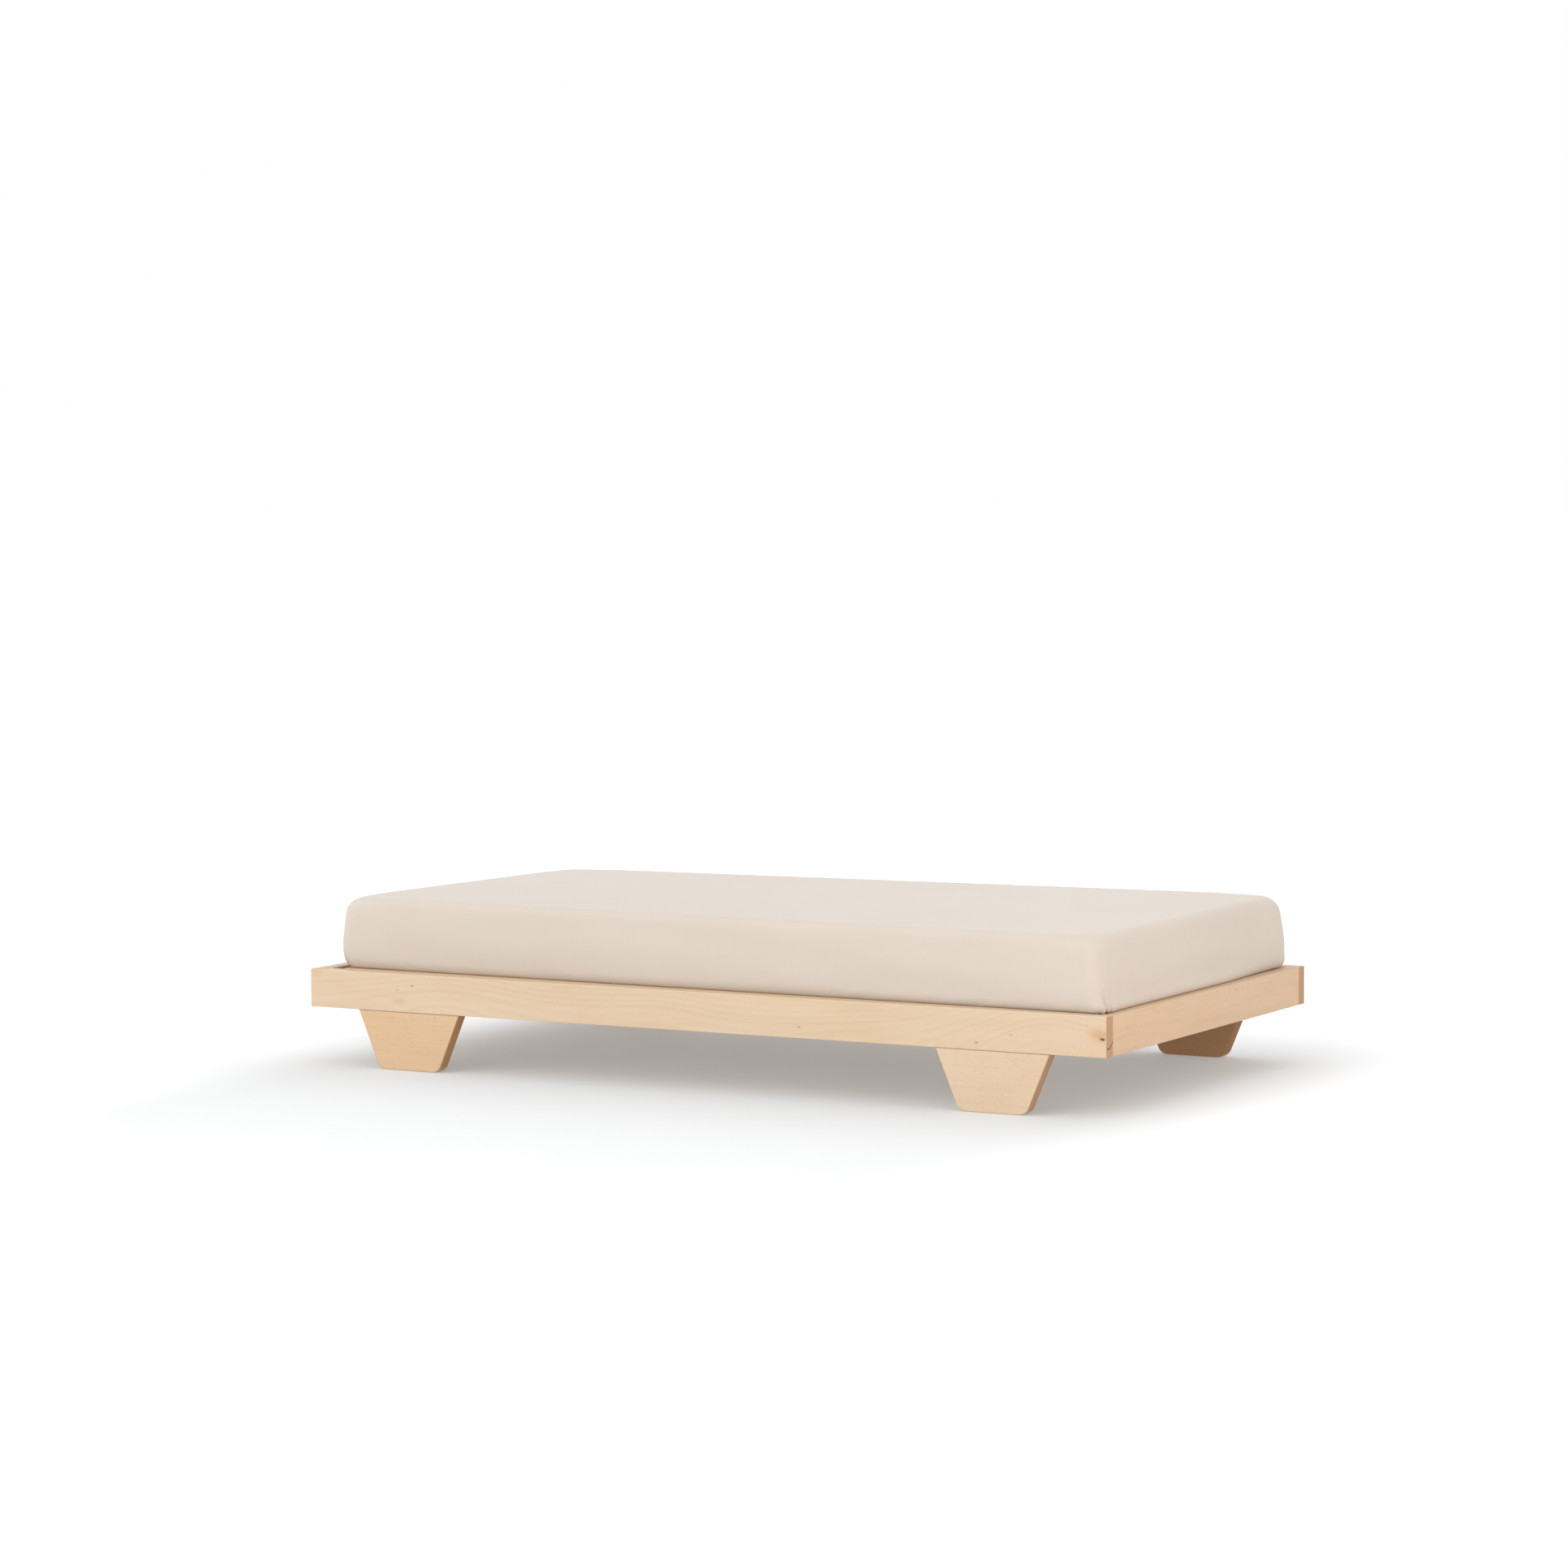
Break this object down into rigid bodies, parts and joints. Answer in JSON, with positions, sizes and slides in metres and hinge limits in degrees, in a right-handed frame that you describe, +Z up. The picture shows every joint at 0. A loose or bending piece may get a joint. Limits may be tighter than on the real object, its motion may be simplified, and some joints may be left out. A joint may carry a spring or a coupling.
{
  "type": "low wooden bed",
  "caption": "Low child's bed: beech rail frame on tapered plank legs, loose slatted base, and a mattress in a fitted sheet.",
  "frame": {"origin": "on the floor under the middle of the frame", "axes": "+X to the right along the bed, +Y to the rear, +Z up"},
  "size_m": [1.47, 0.8, 0.282],
  "materials": {
    "beech": "clear matt lacquer over planed beech",
    "beech_hidden": "planed beech, unfinished",
    "dowel_beech": "fluted beech dowel",
    "slat_frame_beech": "planed beech, clear matt lacquer",
    "slat_wood": "planed, unfinished",
    "zinc_steel": "bright zinc plate",
    "screw_steel": "yellow zinc plate",
    "foam": "open-cell foam",
    "ticking": "quilted cotton ticking",
    "cotton_sheet": "plain-weave cotton, sand colour",
    "elastic": "woven elastic"
  },
  "bodies": {
    "bed_frame": {"side_rail_front": "beech", "side_rail_rear": "beech", "end_rail_left": "beech", "end_rail_right": "beech", "leg_front_left": "beech", "leg_front_right": "beech", "leg_rear_left": "beech", "leg_rear_right": "beech", "ledger_front": "beech_hidden", "ledger_rear": "beech_hidden", "corner_block_front_left": "beech_hidden", "corner_block_front_right": "beech_hidden", "corner_block_rear_left": "beech_hidden", "corner_block_rear_right": "beech_hidden", "corner_dowels": "dowel_beech", "leg_dowels": "dowel_beech", "leg_bolts": "zinc_steel", "leg_barrel_nuts": "zinc_steel", "ledger_screws": "screw_steel", "corner_block_screws": "screw_steel"},
    "slatted_base": {"slat_frame_front": "slat_frame_beech", "slat_frame_rear": "slat_frame_beech", "slat_01": "slat_wood", "slat_02": "slat_wood", "slat_03": "slat_wood", "slat_04": "slat_wood", "slat_05": "slat_wood", "slat_06": "slat_wood", "slat_07": "slat_wood", "slat_08": "slat_wood", "slat_09": "slat_wood", "slat_10": "slat_wood", "slat_11": "slat_wood", "slat_12": "slat_wood", "slat_13": "slat_wood", "slat_screws": "screw_steel"},
    "mattress": {"mattress_core": "foam", "mattress_cover": "ticking", "fitted_sheet": "cotton_sheet", "sheet_elastic": "elastic"}
  },
  "joints": [
    {"name": "slatted_base_lift", "type": "slide", "parent": "bed_frame", "child": "slatted_base", "axis": [0, 0, 1], "range_m": [0, 0.15]},
    {"name": "mattress_lift", "type": "slide", "parent": "slatted_base", "child": "mattress", "axis": [0, 0, 1], "range_m": [0, 0.25]}
  ]
}
